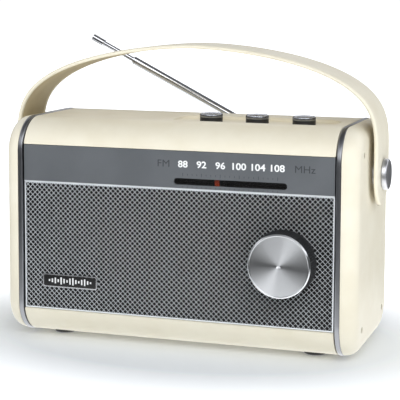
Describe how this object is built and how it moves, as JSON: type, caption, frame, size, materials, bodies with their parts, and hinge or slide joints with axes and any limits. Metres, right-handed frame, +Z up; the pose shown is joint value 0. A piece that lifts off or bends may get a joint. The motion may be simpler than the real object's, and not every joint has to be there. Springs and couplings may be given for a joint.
{
  "type": "tabletop radio",
  "caption": "Tabletop FM radio in a cream leatherette case with a perforated grille, a slot dial with pointer, tuning knob, top controls, swinging handle and telescopic antenna.",
  "frame": {"origin": "middle of the whole radio's footprint, on the table under the feet", "axes": "+Z up, the front with the grille and dial looks towards -Y, +X towards the listener's right hand, where the tuning knob is"},
  "size_m": [0.3072, 0.1478, 0.2375],
  "materials": {
    "cream_leatherette": "satin",
    "tan_lining": "matt",
    "gunmetal_paint": "satin metallic",
    "trim_metal": "satin",
    "grille_steel": "satin",
    "black_cloth": "woven",
    "black_plastic": "fine texture",
    "black_gloss": "gloss",
    "charcoal_plastic": "spark texture",
    "clear_acrylic": "clear",
    "chrome_plate": "polished",
    "spun_aluminium": "spun",
    "bright_steel": "drawn",
    "black_screw": "black oxide",
    "foot_rubber": "matt",
    "red_plastic": "gloss",
    "white_nylon": "moulded",
    "dial_cord_fibre": "braided",
    "ferrite": "sintered",
    "speaker_paper": "pulp",
    "board_laminate": "solder mask",
    "component_cans": "sleeved",
    "transformer_steel": "lacquered",
    "cell_wrap": "printed film over the can",
    "spring_brass": "nickel plated",
    "lead_insulation": "pvc"
  },
  "bodies": {
    "cabinet": {"cabinet_sleeve": "cream_leatherette", "left_end_cap": "cream_leatherette", "right_end_cap": "cream_leatherette", "left_trim_band": "trim_metal", "right_trim_band": "trim_metal", "cap_screws": "black_screw", "rubber_feet": "foot_rubber", "front_baffle": "black_plastic", "dial_panel": "gunmetal_paint", "dial_window": "clear_acrylic", "speaker_grille": "grille_steel", "grille_cloth": "black_cloth", "badge_plate": "black_gloss", "badge_rim": "chrome_plate", "dial_cord": "dial_cord_fibre", "pointer_rail": "bright_steel", "tuning_capacitor": "white_nylon", "speaker_frame": "bright_steel", "speaker_magnet": "ferrite", "speaker_cone": "speaker_paper", "speaker_dust_cap": "speaker_paper", "main_board": "board_laminate", "board_components": "component_cans", "mains_transformer": "transformer_steel", "headphone_jack": "black_plastic", "mains_inlet": "black_plastic", "wiring": "lead_insulation", "rear_cover": "charcoal_plastic", "cover_screws": "black_screw", "battery_cells": "cell_wrap", "battery_contacts": "spring_brass", "antenna_mount": "bright_steel", "left_handle_pivot": "chrome_plate", "right_handle_pivot": "chrome_plate", "volume_control": "black_plastic", "tone_control": "black_plastic", "band_control": "black_plastic"},
    "tuning": {"tuning_knob_base": "black_plastic", "tuning_knob_face": "spun_aluminium", "tuning_shaft": "bright_steel", "dial_drum": "white_nylon"},
    "pointer": {"dial_pointer": "red_plastic"},
    "volume": {"volume_shaft": "bright_steel", "volume_knob": "black_plastic", "volume_knob_cap": "chrome_plate"},
    "tone": {"tone_shaft": "bright_steel", "tone_knob": "black_plastic", "tone_knob_cap": "chrome_plate"},
    "band": {"band_shaft": "bright_steel", "band_knob": "black_plastic", "band_knob_cap": "chrome_plate"},
    "handle": {"handle_strap": "cream_leatherette", "handle_core": "bright_steel", "handle_lining": "tan_lining"},
    "antenna_turret": {"antenna_swivel": "chrome_plate"},
    "antenna_base_tube": {"antenna_tube_1": "chrome_plate"},
    "antenna_middle_tube": {"antenna_tube_2": "chrome_plate"},
    "antenna_upper_tube": {"antenna_tube_3": "chrome_plate"},
    "antenna_tip": {"antenna_rod": "chrome_plate"},
    "battery_cover": {"battery_door": "charcoal_plastic"}
  },
  "joints": [
    {"name": "tuning_turn", "type": "hinge", "parent": "cabinet", "child": "tuning", "pos_m": [0.0871, -0.0585, 0.0753], "axis": [0, 1, 0], "range_deg": [-106.7, 192.9]},
    {"name": "pointer_travel", "type": "slide", "parent": "cabinet", "child": "pointer", "axis": [1, 0, 0], "range_m": [-0.0286, 0.0516]},
    {"name": "volume_turn", "type": "hinge", "parent": "cabinet", "child": "volume", "pos_m": [0.0136, -0.0065, 0.176], "axis": [0, 0, -1], "range_deg": [-150, 150]},
    {"name": "tone_turn", "type": "hinge", "parent": "cabinet", "child": "tone", "pos_m": [0.0511, -0.0065, 0.176], "axis": [0, 0, -1], "range_deg": [-150, 150]},
    {"name": "band_turn", "type": "hinge", "parent": "cabinet", "child": "band", "pos_m": [0.0886, -0.0065, 0.176], "axis": [0, 0, -1], "range_deg": [-30, 30]},
    {"name": "handle_swing", "type": "hinge", "parent": "cabinet", "child": "handle", "pos_m": [0, 0.0035, 0.1365], "axis": [1, 0, 0], "range_deg": [-20, 30]},
    {"name": "antenna_swing", "type": "hinge", "parent": "cabinet", "child": "antenna_turret", "pos_m": [0.0691, 0.0655, 0.1395], "axis": [0, 1, 0], "range_deg": [-27, 153]},
    {"name": "antenna_tilt", "type": "hinge", "parent": "antenna_turret", "child": "antenna_base_tube", "pos_m": [0.0691, 0.0699, 0.1395], "axis": [-0.454, 0, -0.891], "range_deg": [0, 90]},
    {"name": "middle_tube_slide", "type": "slide", "parent": "antenna_base_tube", "child": "antenna_middle_tube", "axis": [-0.891, 0, 0.454], "range_m": [0, 0.135]},
    {"name": "upper_tube_slide", "type": "slide", "parent": "antenna_middle_tube", "child": "antenna_upper_tube", "axis": [-0.891, 0, 0.454], "range_m": [0, 0.135]},
    {"name": "tip_slide", "type": "slide", "parent": "antenna_upper_tube", "child": "antenna_tip", "axis": [-0.891, 0, 0.454], "range_m": [-0.03, 0.105]},
    {"name": "battery_cover_pull", "type": "slide", "parent": "cabinet", "child": "battery_cover", "axis": [0, 1, 0], "range_m": [0, 0.04]}
  ],
  "couplings": [
    {"joint": "pointer_travel", "follows": "tuning_turn", "m_per_rad": 0.0153}
  ]
}
